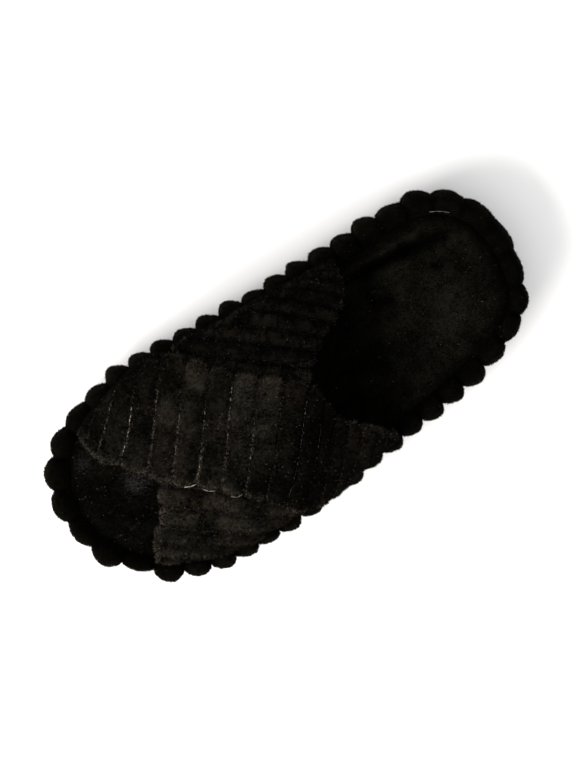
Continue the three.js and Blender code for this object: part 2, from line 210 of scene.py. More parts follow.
def selectNothing():
    if bpy.context.object and bpy.context.object.mode != "OBJECT":
        bpy.ops.object.mode_set(mode="OBJECT")
    bpy.ops.object.select_all(action="DESELECT")


def makeCurrent(obj):
    selectNothing()
    obj.select_set(True)
    bpy.context.view_layer.objects.active = obj


def fetch(items, name, width, kind=float):  # a row of values for each item of a mesh
    values = np.empty(len(items) * width, kind)
    items.foreach_get(name, values)
    return values.reshape(-1, width)


def readPoints(obj):
    return fetch(obj.data.vertices, "co", 3)


def writePoints(obj, points):
    obj.data.vertices.foreach_set("co", np.asarray(points, float).ravel())
    obj.data.update()


def writeTone(obj, shade, lint):  # how light the pile is at each point, painted light and shade included, and how much lint or painted glint is on it
    for name, values in (("shade", shade), ("lint", lint)):
        layer = obj.data.attributes.new(name=name, type="FLOAT", domain="POINT")
        layer.data.foreach_set("value", np.asarray(values, np.float32))


def readTone(obj):
    return [fetch(obj.data.attributes[name].data, "value", 1, np.float32)[:, 0] for name in ("shade", "lint")]


def cutBlank(name, columns, rows, drape, tone):
    selectNothing()
    bpy.ops.mesh.primitive_grid_add(x_subdivisions=columns, y_subdivisions=rows, size=1, location=(0, 0, 0))
    blank = bpy.context.object
    blank.name = name
    blank.data.name = name
    flat = readPoints(blank)
    writePoints(blank, drape(flat[:, 0] + 0.5, flat[:, 1] + 0.5))
    writeTone(blank, *tone(flat[:, 0] + 0.5, flat[:, 1] + 0.5))
    return blank


def sew(blank, reach, smooth=True):  # joins the edges that meet and turns the faces outwards
    makeCurrent(blank)
    bpy.ops.object.mode_set(mode="EDIT")
    bpy.ops.mesh.select_all(action="SELECT")
    bpy.ops.mesh.remove_doubles(threshold=reach)
    bpy.ops.mesh.select_all(action="SELECT")
    bpy.ops.mesh.normals_make_consistent(inside=False)
    bpy.ops.object.mode_set(mode="OBJECT")
    if smooth:
        bpy.ops.object.shade_smooth()
    return blank


def bodyTree(obj):
    obj.data.calc_loop_triangles()
    faces = [tuple(t.vertices) for t in obj.data.loop_triangles]
    return BVHTree.FromPolygons([tuple(v.co) for v in obj.data.vertices], faces)


def pressClear(obj, trees, clearance, reach):  # padding gives way where a strap presses into it
    points = readPoints(obj)
    for i, point in enumerate(points):
        for tree in trees:
            place, normal, _, distance = tree.find_nearest(Vector(point), reach)
            if place is None:
                continue
            side = (Vector(point) - place).dot(normal)
            if side < 0:
                points[i] = place + normal * clearance
            elif distance < clearance:
                points[i] = place + (Vector(point) - place).normalized() * clearance
    writePoints(obj, points)


# Straps: channelled plush over padding, the over strap sewn down on the under strap

strapSettings = {
    "wall": 4.0,
    "halfWidth": 28.0,
    "outerShare": 0.62,
    "flatShare": 0.86,
    "loopRows": 52,
    "ribRaise": {"over": 2.0, "under": 2.4},
    "ribFullness": {"over": 0.42, "under": 0.5},
    "ribVary": 0.1,
    "seed": {"over": 5, "under": 6},
    "edgePuff": 3.0,
    "press": 6.0,
    "tuck": 6.6,
    "sink": 0.9,
    "archHeight": 52.0,
    "archBulge": 9.0,
    "archPower": 2.2,
    "archSpan": (-70.0, 112.0),
    "turnSpan": 2.2,
    "turnStep": 0.02,
    "ripple": 0.5,
    "stepsPerRib": 10,
    "sections": {
        "along": (0.30, 0.47, 0.56, 0.66, 0.74, 0.80, 0.87),
        "height": (0.94, 1.04, 0.98, 0.82, 0.68, 0.58, 0.47),
        "bulgeIn": (0.40, 1.10, 1.30, 1.50, 1.25, 0.35, -0.70),
        "bulgeOut": (0.20, 0.35, 0.90, 0.20, -0.50, -1.00, -0.90),
        "lean": (0.10, 0.08, 0.06, 0.04, 0.02, 0.00, 0.00),
    },
    "over": {
        "rib": (-3, 1, 3, 6, 9, 11, 13, 15, 18),
        "frontAlong": (0.877, 0.867, 0.799, 0.695, 0.610, 0.570, 0.518, 0.482, 0.455),
        "frontTurn": (-1.24, -0.53, -0.15, 0.19, 0.47, 0.64, 0.76, 1.04, 1.60),
        "backAlong": (0.832, 0.722, 0.666, 0.573, 0.472, 0.458, 0.427, 0.390, 0.370),
        "backTurn": (-1.75, -0.96, -0.67, -0.33, -0.04, 0.19, 0.36, 0.60, 1.28),
    },
    "under": {
        "rib": (-2, 1, 3, 6, 9, 12, 15, 17, 20),
        "frontAlong": (0.880, 0.852, 0.807, 0.749, 0.674, 0.605, 0.547, 0.499, 0.450),
        "frontTurn": (1.26, 0.54, 0.16, -0.28, -0.59, -0.83, -1.22, -1.45, -1.70),
        "backAlong": (0.763, 0.719, 0.616, 0.532, 0.480, 0.409, 0.342, 0.325, 0.318),
        "backTurn": (1.75, 0.92, 0.66, 0.33, -0.06, -0.25, -0.41, -0.62, -1.22),
    },
    # ribs between which the over strap rises on to the under strap and comes down again
    "lift": (2.0, 3.6, 9.2, 11.0),
    # how light each rib is at the strap's front and back edge, from the first rib on: partly the brushing of
    # the pile, partly painted light and shade where ribs face toward or away from the lamp
    "ribToneAndPaintedLight": {
        "over": {
            "front": (
                0.80, 0.85, 0.95, 1.00, 0.80, 0.60, 0.80, 0.95, 1.15, 1.00, 0.55, 0.22, 0.15, 0.20,
                0.50, 0.85, 1.00, 0.95, 0.85, 0.75, 0.70,
            ),
            "back": (
                0.50, 0.50, 0.55, 0.55, 0.55, 0.50, 1.50, 1.55, 0.75, 1.45, 1.25, 0.50, 0.25, 0.22,
                0.32, 0.50, 0.70, 0.60, 0.60, 0.60, 0.60,
            ),
        },
        "under": {
            "front": (
                1.10, 1.15, 1.25, 1.20, 1.30, 1.15, 1.00, 0.90, 0.85, 0.80, 0.70, 0.60, 0.50, 0.60,
                0.55, 0.60, 0.55, 0.60, 0.50, 0.55, 0.50, 0.50,
            ),
            "back": (
                1.00, 1.10, 1.10, 1.00, 1.10, 0.90, 0.80, 0.75, 0.72, 0.68, 0.60, 0.55, 0.40, 0.52,
                0.45, 0.50, 0.50, 0.60, 0.45, 0.50, 0.45, 0.45,
            ),
        },
    },
    # lint along the seams, with painted glints brightest toward the lit front edge
    "seamLintAndGlint": {"over": 0.60, "under": 0.22},
    # painted shade in the seams' valleys: how dark, and how far from the seam it reaches
    "seamPaintedShade": {"over": 0.5, "under": 0.62},
    "seamReach": {"over": 0.24, "under": 0.36},
    # painted highlight on the cut edges, where the pile's tips catch the light
    "edgePaintedHighlight": 0.34,
    # painted highlight on the back edge's scallops
    "backEdgePaintedHighlight": {"over": 0.9, "under": 0.3},
    # how far across the cut edges begin and end
    "frontEdge": (-0.80, -0.98),
    "backEdge": (0.9, 0.99),
    # painted highlight: how much lighter the front edge is drawn
    "frontLight": 0.6,
    # painted shade on the strap's inner face, under the arch
    "insideShade": 0.55,
    "looseLint": 0.016,
    # loose fluff at a strap's back edge: rib, across, and how many ribs it reaches
    "fluff": {"over": (7.6, 0.88, 0.5), "under": (9.6, 0.9, 0.6)},
    "fluffReach": 0.10,
    "fluffAmount": 0.14,
}


def archSurface():  # middle of the strap wall over every millimetre along and every turn, and its normals
    s = strapSettings
    xs = np.arange(*s["archSpan"], 1.0)
    turns = np.arange(-s["turnSpan"], s["turnSpan"] + 1e-4, s["turnStep"])
    inner, outer = widthsAt(insetOutline(slipper["bindingWidth"]), xs)
    along = alongOf(xs)
    names = ("lean", "height", "bulgeIn", "bulgeOut")
    lean, height, bulgeIn, bulgeOut = (readTable(s["sections"], "along", name, along) for name in names)
    crown = (outer + inner) / 2 - lean * (outer - inner) / 2
    angle = np.linspace(0, math.pi / 2, 25)
    surface = np.empty((len(xs), len(turns), 3))
    for i, x in enumerate(xs):
        for side, edge, bulge in ((-1, inner[i], bulgeIn[i]), (1, outer[i], bulgeOut[i])):
            out = abs(edge - crown[i]) * np.sin(angle) ** (2 / s["archPower"])
            out += s["archBulge"] * bulge * np.sin(2 * angle) * np.sin(angle)
            up = s["archHeight"] * height[i] * np.cos(angle) ** (2 / s["archPower"])
            lengths = lengthsOf(np.column_stack([out, up]))
            chosen = turns < -1e-9 if side < 0 else turns >= -1e-9
            target = np.abs(turns[chosen]) * lengths[-1]
            surface[i, chosen, 0] = x
            surface[i, chosen, 1] = crown[i] + side * np.interp(target, lengths, out)
            surface[i, chosen, 2] = np.interp(target, lengths, up) - np.maximum(0, target - lengths[-1])
    return xs, turns, surface, unit(np.cross(np.gradient(surface, axis=0), np.gradient(surface, axis=1)))


archXs, archTurns, archPlaces, archNormals = archSurface()


def onArch(x, turn):
    i = np.clip(x - archXs[0], 0, len(archXs) - 1.001)
    j = np.clip((turn - archTurns[0]) / strapSettings["turnStep"], 0, len(archTurns) - 1.001)
    i0, j0 = i.astype(int), j.astype(int)
    u, v = (i - i0)[:, None], (j - j0)[:, None]
    found = []
    for field in (archPlaces, archNormals):
        low = mix(field[i0, j0], field[i0 + 1, j0], u)
        high = mix(field[i0, j0 + 1], field[i0 + 1, j0 + 1], u)
        found.append(mix(low, high, v))
    return found[0], unit(found[1])


def strapLoop():  # once round a strap's section: across from edge to edge in half widths, face 1 outer
    s = strapSettings
    t = np.linspace(0, 1, s["loopRows"] + 1)
    turn, room = s["outerShare"], s["flatShare"]
    isOuter = t < turn
    flat = np.where(isOuter, mix(-1, 1, t / turn), mix(1, -1, (t - turn) / (1 - turn)))
    reach = np.abs(flat)
    bend = np.clip((reach - room) / (1 - room), 0, 1) * math.pi / 2
    core = 1 - (s["wall"] / 2 + 1) / s["halfWidth"]
    across = np.sign(flat) * np.where(reach < room, reach / room * core, core + (1 - core) * np.sin(bend))
    return across, np.where(isOuter, 1, -1) * np.cos(bend)


def onStrap(key, rib, share):  # place and normal on the arch, share 0 at a strap's front edge, 1 at its back
    names = ("frontAlong", "frontTurn", "backAlong", "backTurn")
    fa, ft, ba, bt = (readTable(strapSettings[key], "rib", name, rib) for name in names)
    fx, bx = (fa - 0.5) * slipper["length"], (ba - 0.5) * slipper["length"]
    return onArch(mix(fx, bx, share), mix(ft, bt, share))


def strapPlaces(key, rib, across, face):  # a strap's surface in straight millimetres, seam at height 0
    s = strapSettings
    back = np.abs(np.sin(math.pi * rib)) ** s["ribFullness"][key]
    number = np.floor(rib).astype(int)
    vary = np.random.default_rng(s["seed"][key]).normal(1, s["ribVary"], 64)[number % 64]
    share = (across * (1 + s["edgePuff"] * back * vary / s["halfWidth"]) + 1) / 2
    point, normal = onStrap(key, rib, share)
    pressed = smoothStep(0, s["press"], point[:, 2])
    raised = s["ribRaise"][key] * back * vary * pressed * np.sqrt(np.clip(face, 0, 1))
    off = face * s["wall"] / 2 + raised
    if key == "over":
        a, b, c, d = s["lift"]
        off = off + smoothStep(a, b, rib) * (1 - smoothStep(c, d, rib)) * (s["wall"] - s["sink"])
    off = off + s["ripple"] * pressed * swell(point, 34.0, 3)
    return point + normal * off[:, None]


def strapTone(key, rib, across, face):  # painted shade in the seams, lint and painted glints along them, painted highlights on the cut edges and painted shade on the inner face
    s = strapSettings
    # each rib's tone, with painted light and shade in it
    ends = [np.array(s["ribToneAndPaintedLight"][key][edge]) for edge in ("front", "back")]
    number = np.clip(np.floor(rib).astype(int) - s[key]["rib"][0], 0, len(ends[0]) - 1)
    toned = mix(ends[0][number], ends[1][number], smoothStep(-0.8, 0.8, across))
    reach = np.abs(rib - np.rint(rib))
    # painted shade, strongest in the seam's valley
    seam = 1 - smoothStep(0.03, s["seamReach"][key], reach)
    uneven = 0.6 + 0.4 * np.sin(rib * 2.3 + 1.0) * np.sin(rib * 5.1)
    front, back = smoothStep(*s["frontEdge"], across), smoothStep(*s["backEdge"], across)
    # painted highlight on the back edge
    backHighlight = s["backEdgePaintedHighlight"][key] * back * np.minimum(1, toned)
    shade = toned * (1 - s["seamPaintedShade"][key] * seam) * (1 + s["frontLight"] * front * uneven + backHighlight)
    # painted shade on the inner face
    shade *= mix(s["insideShade"], 1, smoothStep(-0.3, 0.2, face))
    # seam lint and painted glint, brighter toward the front edge where the light falls
    lint = s["seamLintAndGlint"][key] * np.exp(-(reach / 0.06) ** 2) * mix(0.35, 1, smoothStep(0.7, -0.7, across))
    lint *= np.minimum(1, toned)
    # painted highlight along the cut edges, as pale lint
    lint = np.maximum(lint, s["edgePaintedHighlight"] * np.maximum(front * uneven, backHighlight))
    atRib, atEdge, ribs = s["fluff"][key]
    away = ((across - atEdge) / s["fluffReach"]) ** 2 + ((rib - atRib) / ribs) ** 2
    lint += s["fluffAmount"] * np.exp(-away)
    return shade, (lint + s["looseLint"]) * smoothStep(-0.2, 0.1, face)


def makeStrap(name, key):
    s = strapSettings
    first, last = s[key]["rib"][0], s[key]["rib"][-1]
    across, face = strapLoop()

    def onBlank(shape, u, v):
        k = np.rint(v * s["loopRows"]).astype(int)
        return shape(key, first + u * (last - first), across[k], face[k])

    drape, tone = partial(onBlank, strapPlaces), partial(onBlank, strapTone)
    strap = cutBlank(name, (last - first) * s["stepsPerRib"], s["loopRows"], drape, tone)
    sew(strap, 1e-3)
    bpy.ops.object.mode_set(mode="EDIT")
    bpy.ops.mesh.select_all(action="SELECT")
    bpy.ops.mesh.bisect(plane_co=(0, 0, -s["tuck"]), plane_no=(0, 0, 1), use_fill=True, clear_inner=True)
    bpy.ops.object.mode_set(mode="OBJECT")
    points = readPoints(strap)
    points[:, 2] += seamHeight
    writePoints(strap, toWorld(points))
    return strap


# Binding: a padded band of the ribbed plush round the platform, one puff for each rib

bindingSettings = {
    "puffs": 44,
    "puffDepth": 4.6,
    "puffDip": 3.6,
    "endStretch": 1.42,
    "sideZone": 0.2,
    "fullness": 0.66,
    "crest": 0.34,
    "vary": 0.2,
    "ripple": 0.45,
    "stepsPerPuff": 12,
    "rows": 30,
    # painted light and shade: painted shade in the valleys and on the inner wall, a painted sheen on the band
    # round the puffs' girth, and darker puffs at the toe
    "valleyShade": 0.25,
    "innerShade": 0.4,
    "girthLight": 1.3,
    "girthAt": 2.5,
    "girthReach": 0.8,
    "innerAt": (5.2, 6.2),
    "toeShade": 0.62,
    "toeZone": (0.78, 0.9),
    "lint": 0.006,
    # puffs pressed flat by wear at the back of the heel, and how deep the valleys beside them still are
    "worn": {38: 0.85, 39: 0.7, 40: 0.6, 41: 0.45, 42: 0.12, 43: 0.12, 0: 0.75},
    # from the foot round the outside to the inner wall, shares of the band's width and height
    "profile": {
        "at": (0, 1, 2, 3, 4, 5, 6, 7, 8, 9),
        "inset": (0.42, 0.12, 0.00, 0.07, 0.32, 0.70, 1.00, 1.00, 1.00, 0.42),
        "up": (0.00, 0.14, 0.43, 0.73, 0.95, 0.99, 0.79, 0.30, 0.00, 0.00),
        "dipIn": (0.0, 0.7, 1.0, 0.9, 0.5, 0.0, 0.0, 0.0, 0.0, 0.0),
        "dipDown": (0.0, 0.0, 0.0, 0.3, 0.8, 1.0, 0.5, 0.0, 0.0, 0.0),
    },
}


def puffPhases():
    s = bindingSettings
    end = smoothStep(s["sideZone"], 0.5, np.abs(alongOf(outline[:, 0]) - 0.5))
    weights = 1 / mix(1, s["endStretch"], end)
    sums = np.concatenate([[0], np.cumsum(weights)])
    return sums / sums[-1] * s["puffs"]


def onOutline(phase):  # place and outward normal where a puff's phase falls
    steps = np.arange(len(outline) + 1)
    index = np.interp(phase, puffPhases(), steps)
    return alongRow(index, steps, closed(outline)), unit(alongRow(index, steps, closed(outlineOut)))


def puffRise(phase, along):  # 0 in the valleys and 1 on the crests, which lean the way the band was sewn on
    s = bindingSettings
    part = phase % 1
    crest = mix(s["crest"], 0.5, smoothStep(s["sideZone"], 0.5, np.abs(along - 0.5)))
    turned = np.where(part < crest, 0.5 * part / crest, 0.5 + 0.5 * (part - crest) / (1 - crest))
    return np.abs(np.sin(math.pi * turned))


def makeBinding():
    s = bindingSettings
    last = s["profile"]["at"][-1]
    varyIn, varyDown = np.random.default_rng(8).normal(0, s["vary"], (s["puffs"], 2)).T
    wornShare = np.array([s["worn"].get(puff, 1.0) for puff in range(s["puffs"])])

    def drape(u, v):
        phase = u * s["puffs"]
        at = v * last
        puff = np.minimum(phase.astype(int), s["puffs"] - 1)
        place, out = onOutline(phase)
        names = ("inset", "up", "dipIn", "dipDown")
        inset, up, dipIn, dipDown = (readTable(s["profile"], "at", name, at) for name in names)
        back = puffRise(phase, alongOf(place[:, 0])) ** s["fullness"]
        worn = np.interp(phase, np.arange(s["puffs"]) + 0.5, wornShare, period=s["puffs"])
        dipIn = dipIn * s["puffDepth"] * worn * (1 - back * (1 + varyIn[puff]))
        dipDown = dipDown * s["puffDip"] * worn * (1 - back * (1 + varyDown[puff]))
        flat = place - out * (inset * slipper["bindingWidth"] + dipIn)[:, None]
        height = up * slipper["bindingHeight"] - dipDown
        places = np.column_stack([flat, slipper["outsoleThick"] + slipper["gap"] + height])
        soft = s["ripple"] * smoothStep(0.05, 0.3, up) * (1 - inset) * swell(places, 15.0, 12)
        places[:, :2] -= out * np.abs(soft)[:, None]
        places[:, 2] += soft * up
        return places

    def tone(u, v):
        along = alongOf(onOutline(u * s["puffs"])[0][:, 0])
        back = puffRise(u * s["puffs"], along)
        # painted shade in the valleys and on the inner wall, painted sheen round the girth
        shade = mix(s["valleyShade"], 1, smoothStep(0.05, 0.7, back))
        shade *= mix(1, s["innerShade"], smoothStep(*s["innerAt"], v * last))
        shade *= 1 + s["girthLight"] * np.exp(-((v * last - s["girthAt"]) / s["girthReach"]) ** 2)
        shade *= mix(1, s["toeShade"], smoothStep(*s["toeZone"], along))
        return shade, np.full(len(u), s["lint"])

    binding = cutBlank("bindingPuffs", s["puffs"] * s["stepsPerPuff"], s["rows"], drape, tone)
    writePoints(binding, toWorld(readPoints(binding)))
    return sew(binding, 1e-6)


# Insole: a padded plush footbed with low ribs along the foot

insoleSettings = {
    "crown": 2.2,
    "edgeDrop": 1.1,
    "ribRaise": 1.9,
    "ribStart": -7.6,
    "heelRibShare": 0.22,
    "ribFullness": 0.7,
    "roll": 9.0,
    "ripple": 0.5,
    # lint and painted glints along the rib seams at the toe
    "seamLintAndGlint": 0.1,
    "seamZone": (0.72, 0.86),
    "columns": 190,
    "rows": 120,
    # creases placed one by one: from and to in millimetres of the plan, depth below 0 for a trough
    "creases": [
        ((-52, -38.5), (-90, -36.5), 2.8, 2.4),
        ((-48, -35), (-61, -33.5), 2.4, -2.4),
        ((-61, -33.5), (-82, -32), 3.0, -3.4),
        ((-82, -32), (-103, -29), 3.4, -2.6),
        ((-66, -28), (-92, -26), 3.6, 1.2),
        ((-92, -18), (-95, -17), 2.4, -2.4),
        ((-84, -20), (-70, -18), 5.0, 0.8),
        ((-57, -16), (-64, -14.5), 3.2, -2.0),
        ((-24, 26), (-50, 24), 3.4, -1.4),
        ((-40, 36), (-72, 36), 4.0, 0.8),
        ((-26, 0), (-44, 2), 2.8, -1.0),
        ((104, -12), (116, -12), 2.4, -1.0),
        ((82, 8), (98, 12), 3.0, -1.2),
    ],
    # lint that has gathered on the bed: middle, size and amount
    "lint": [
        ((88, -1), 6.0, 0.24),
        ((106, -22), 5.0, 0.08),
        ((-84, 2), 26.0, 0.02),
    ],
    # pile lighter or darker in round patches, partly the brushing of the pile, partly painted shadow behind
    # the straps and painted light on the heel: middle, size and amount
    "brushedAndPaintedLight": [
        ((-24, 4), 26.0, -0.35),
        ((-22, -26), 22.0, -0.3),
        ((-78, 4), 24.0, 0.45),
        ((-60, 26), 14.0, 0.45),
        ((104, 2), 24.0, -0.55),
        ((86, 20), 14.0, -0.45),
        ((96, -22), 12.0, 0.2),
        ((-115, 11), 9.0, -0.5),
    ],
    # painted shadow of the straps on the bed: darker from here forward, along a slanting line across the bed
    "pressed": {"along": -53.5, "slant": 0.38, "soft": 5.0, "wobble": 3.0, "amount": 0.45},
    # painted shade where the bed meets the band's wall: how dark it is at the edge, and how far in that
    # reaches
    "edgeShade": 0.45,
    "edgeReach": 9.0,
    "toeShade": 0.12,
    "toeReach": 20.0,
    "toeZone": (0.8, 0.9),
    # painted light and shade: crease ridges lighter, troughs and rib valleys darker
    "foldShade": 0.36,
    "foldLimits": (0.12, 1.8),
    "valleyShade": 0.55,
    "heelValley": 0.25,
    "loose": (0.005, 0.014),
}


def creaseHeight(places, creases):
    total = np.zeros(len(places))
    for start, end, width, depth in creases:
        a, b = np.array(start, float), np.array(end, float)
        way = b - a
        t = np.clip((places[:, :2] - a) @ way / (way @ way), 0, 1)
        reach = np.linalg.norm(places[:, :2] - a - t[:, None] * way, axis=1)
        total += depth * np.exp(-(reach / width) ** 2)
    return total


def patchAt(places, middle, size, stretch=1):  # 1 at the middle of a round patch, fading out over its size
    away = np.linalg.norm(places[:, :2] - np.array(middle, float), axis=1)
    return np.exp(-(away * stretch / size) ** 2)


def makeInsole():
    s = insoleSettings
    edge = insetOutline(slipper["bindingWidth"] + slipper["gap"])
    heel, toe = edge[:, 0].min(), edge[:, 0].max()
    topRows = s["rows"] * 5 // 6
    bare = slipper["heelFlat"][1], slipper["ballFlat"][0]

    def drape(u, v):
        x = mix(heel, toe, (1 - np.cos(math.pi * u)) / 2)
        inner, outer = widthsAt(edge, x)
        row = v * s["rows"]
        isTop = row <= topRows + 0.01
        back = np.clip((row - topRows) / (s["rows"] - topRows), 0, 1)
        over = np.sin((row / topRows - 0.5) * math.pi)
        across = np.where(isTop, over, np.interp(back, [0, 0.25, 0.75, 1], [1, 1, -1, -1]))
        y = mix(inner, outer, (across + 1) / 2)
        places = np.column_stack([x, y, np.zeros(len(x))])
        rolled = np.sin(math.pi / 2 * np.minimum(1, reachTo(edge, places) / s["roll"]))
        tread = mix(s["heelRibShare"], 1, smoothStep(*bare, alongOf(x)))
        phase = (y - s["ribStart"]) / slipper["ribPitch"]
        rib = s["ribRaise"] * tread * np.abs(np.sin(math.pi * phase)) ** s["ribFullness"]
        soft = s["ripple"] * swell(places, 26.0, 9) + creaseHeight(places, s["creases"])
        top = seamHeight - s["edgeDrop"] + (s["crown"] + rib + soft) * rolled
        low = np.interp(back, [0, 0.2, 0.8, 1], [0, 1, 1, 0])
        places[:, 2] = np.where(isTop, top, mix(top, slipper["outsoleThick"] + slipper["gap"], low))
        return places

    def tone(u, v):
        places = drape(u, v)
        reach = reachTo(edge, places)
        along = alongOf(places[:, 0])
        phase = (places[:, 1] - s["ribStart"]) / slipper["ribPitch"]
        # painted shade in the rib valleys and crease troughs, painted light on the ridges
        valley = 1 - smoothStep(0.05, 0.6, np.abs(np.sin(math.pi * phase)))
        fold = np.clip(1 + s["foldShade"] * creaseHeight(places, s["creases"]), *s["foldLimits"])
        tread = mix(s["heelValley"], 1, smoothStep(*bare, along))
        atToe = smoothStep(*s["toeZone"], along)
        # painted shade along the bed's edge, deeper at the toe
        edgeShade = mix(s["edgeShade"], s["toeShade"], atToe)
        edgeReach = mix(s["edgeReach"], s["toeReach"], atToe)
        shade = mix(edgeShade, 1, smoothStep(0, edgeReach, reach))
        shade *= (1 - s["valleyShade"] * tread * valley) * fold
        wobble = swell(places, 22.0, 14)
        # painted shadow of the straps, with a soft wobbly edge
        flat = s["pressed"]
        past = places[:, 0] - flat["along"] - flat["slant"] * places[:, 1] + flat["wobble"] * wobble
        inStrapShadow = smoothStep(-flat["soft"], flat["soft"], past) * (1 - smoothStep(0.6, 0.8, along))
        shade *= 1 - flat["amount"] * inStrapShadow
        lint = mix(*s["loose"], smoothStep(0.55, 0.8, along))
        broken = smoothStep(-0.15, 0.35, swell(places, 6.0, 31))
        atSeam = np.exp(-(np.abs(phase - np.rint(phase)) / 0.05) ** 2)
        lint += s["seamLintAndGlint"] * smoothStep(*s["seamZone"], along) * atSeam * broken
        for middle, size, amount in s["lint"]:
            lint += amount * patchAt(places, middle, size)
        # round patches of pile tone, painted shadow and painted light
        for middle, size, amount in s["brushedAndPaintedLight"]:
            shade *= 1 + amount * patchAt(places, middle, size, 1 + 0.22 * wobble)
        return shade, lint

    insole = cutBlank("insolePad", s["columns"], s["rows"], drape, tone)
    writePoints(insole, toWorld(readPoints(insole)))
    return sew(insole, 1e-6)


# Outsole: a thin moulded sole with a grooved side wall and a field of wavy bars underneath

outsoleSettings = {
    "wall": {
        "at": (0, 1, 2, 3, 4, 5, 6, 7, 8),
        "up": (0.10, 0.17, 0.28, 0.40, 0.46, 0.55, 0.64, 0.70, 1.00),
        "inset": (2.2, 0.6, 0.05, 0.0, 0.6, 0.85, 0.6, 0.0, 0.0),
    },
    "wallRows": 24,
    "capRows": 10,
    "stations": 110,
    "bars": {
        "pitch": 5.5, "width": 2.6, "deep": 1.6, "wave": 3.0, "waveLength": 15.0, "border": 7.0,
        "shortest": 12.0, "steps": 26,
    },
}


def archRise(along):  # how far the sole is hollowed under the arch of the foot
    rise = smoothStep(slipper["heelFlat"][1], slipper["waist"][0], along)
    fall = smoothStep(slipper["waist"][1], slipper["ballFlat"][0], along)
    return slipper["archHollow"] * (rise * (1 - fall))


def makeOutsole():
    s = outsoleSettings
    wallRows, capRows = s["wallRows"], s["capRows"]
    rows = wallRows + 2 * capRows

    def drape(u, v):
        row = v * rows
        at = np.clip((row - capRows) / wallRows, 0, 1) * s["wall"]["at"][-1]
        up, inset = readTable(s["wall"], "at", "up", at), readTable(s["wall"], "at", "inset", at)
        toMiddle = np.clip(np.maximum(capRows - row, row - capRows - wallRows) / capRows, 0, 1)
        turn = u * 2
        isOuter = turn <= 1
        t = np.where(isOuter, turn, 2 - turn)
        x, y = np.empty(len(u)), np.empty(len(u))
        for level in np.unique(np.round(inset, 6)):
            chosen = np.abs(inset - level) < 1e-5
            edge = insetOutline(slipper["soleSetback"] + level)
            heel, toe = edge[:, 0].min(), edge[:, 0].max()
            x[chosen] = mix(heel, toe, (1 - np.cos(math.pi * t[chosen])) / 2)
            inner, outer = widthsAt(edge, x[chosen])
            side = np.where(isOuter[chosen], outer, inner)
            y[chosen] = mix(side, (inner + outer) / 2, toMiddle[chosen])
        return np.column_stack([x, y, up * slipper["outsoleThick"] + archRise(alongOf(x)) * (1 - up)])

    def tone(u, v):
        return np.ones(len(u)), np.zeros(len(u))

    sole = cutBlank("outsoleBody", s["stations"] * 2, rows, drape, tone)
    writePoints(sole, toWorld(readPoints(sole)))
    return sew(sole, 1e-6)


def joinArrays(name, points, faces, smooth=True):  # one mesh from arrays of points and equal-sided faces
    mesh = bpy.data.meshes.new(name)
    sides = faces.shape[1]
    mesh.vertices.add(len(points))
    mesh.vertices.foreach_set("co", points.astype(np.float32).ravel())
    mesh.loops.add(faces.size)
    mesh.loops.foreach_set("vertex_index", faces.astype(np.int32).ravel())
    mesh.polygons.add(len(faces))
    mesh.polygons.foreach_set("loop_start", np.arange(0, faces.size, sides, dtype=np.int32))
    mesh.update(calc_edges=True)
    mesh.validate()
    mesh.polygons.foreach_set("use_smooth", np.full(len(faces), smooth))
    obj = bpy.data.objects.new(name, mesh)
    bpy.context.scene.collection.objects.link(obj)
    return obj


def makeTread():
    s = outsoleSettings["bars"]
    edge = insetOutline(slipper["soleSetback"] + s["border"])
    heel, toe = edge[:, 0].min(), edge[:, 0].max()
    steps, deep = s["steps"], s["deep"]
    points, faces = [], []
    for middle in np.arange(heel + s["pitch"] / 2, toe - s["pitch"] / 2, s["pitch"]):
        inner, outer = widthsAt(edge, middle)
        if outer - inner < s["shortest"]:
            continue
        y = np.linspace(inner, outer, steps)
        x = middle + s["wave"] / 2 * np.sin(2 * math.pi * y / s["waveLength"])
        half = s["width"] / 2 * np.sqrt(np.clip(1 - np.abs(np.linspace(-1, 1, steps)) ** 8, 0.1, 1))
        arch = archRise(alongOf(x))
        start = len(points)
        for i in range(steps):
            for share, z in ((-1, deep), (-0.75, 0), (0.75, 0), (1, deep)):
                points.append((x[i] + share * half[i], y[i], z + arch[i]))
        for i in range(steps - 1):
            a = start + i * 4
            faces += [(a + k, a + (k + 1) % 4, a + 4 + (k + 1) % 4, a + 4 + k) for k in range(4)]
        end = start + (steps - 1) * 4
        faces += [(start, start + 3, start + 2, start + 1), (end, end + 1, end + 2, end + 3)]
    tread = joinArrays("treadBars", toWorld(np.array(points)), np.array(faces), smooth=False)
    return sew(tread, 1e-6, smooth=False)


# Nap: short tufts of pile standing on a plush piece, each a closed three-sided lock

strapNap = {"count": 47000, "length": 1.25, "width": 0.68, "lean": (0.7, 0.1), "stray": 0.5}
napSettings = {
    "sink": 0.3,
    "lengths": (0.6, 1.25),
    # painted shade deep in the pile: the tufts' roots darker than their tips
    "shades": (0.4, 1.6),
    "tipShade": 1.0,
    "footShade": 0.5,
    "darkest": 0.1,
    "lit": (0.25, 1.0),
    "upright": 0.35,
    # where tufts stand: thinner inside the arch, clear of the band's foot and walls, on faces that look up
    "insideShare": 0.25,
    "footClear": 0.8,
    "wallClear": 0.6,
    "bandFacing": 0.3,
    "bedFacing": 0.25,
    "overStrap": {**strapNap, "own": 0.65, "cells": (110, 84), "hatch": 1.2},
    "underStrap": {**strapNap, "own": 0.95, "cells": (50, 92), "hatch": 2.2},
    "binding": {
        "count": 44000, "length": 0.95, "width": 0.60, "lean": (0.1, -0.5), "stray": 0.55, "own": 0.4,
        "cells": (400, 36), "hatch": 0.9,
    },
    "insole": {
        "count": 46000, "length": 1.00, "width": 0.66, "lean": (-0.7, 0.2), "stray": 0.6, "own": 0.5,
        "cells": (140, 70), "hatch": 1.0,
    },
}


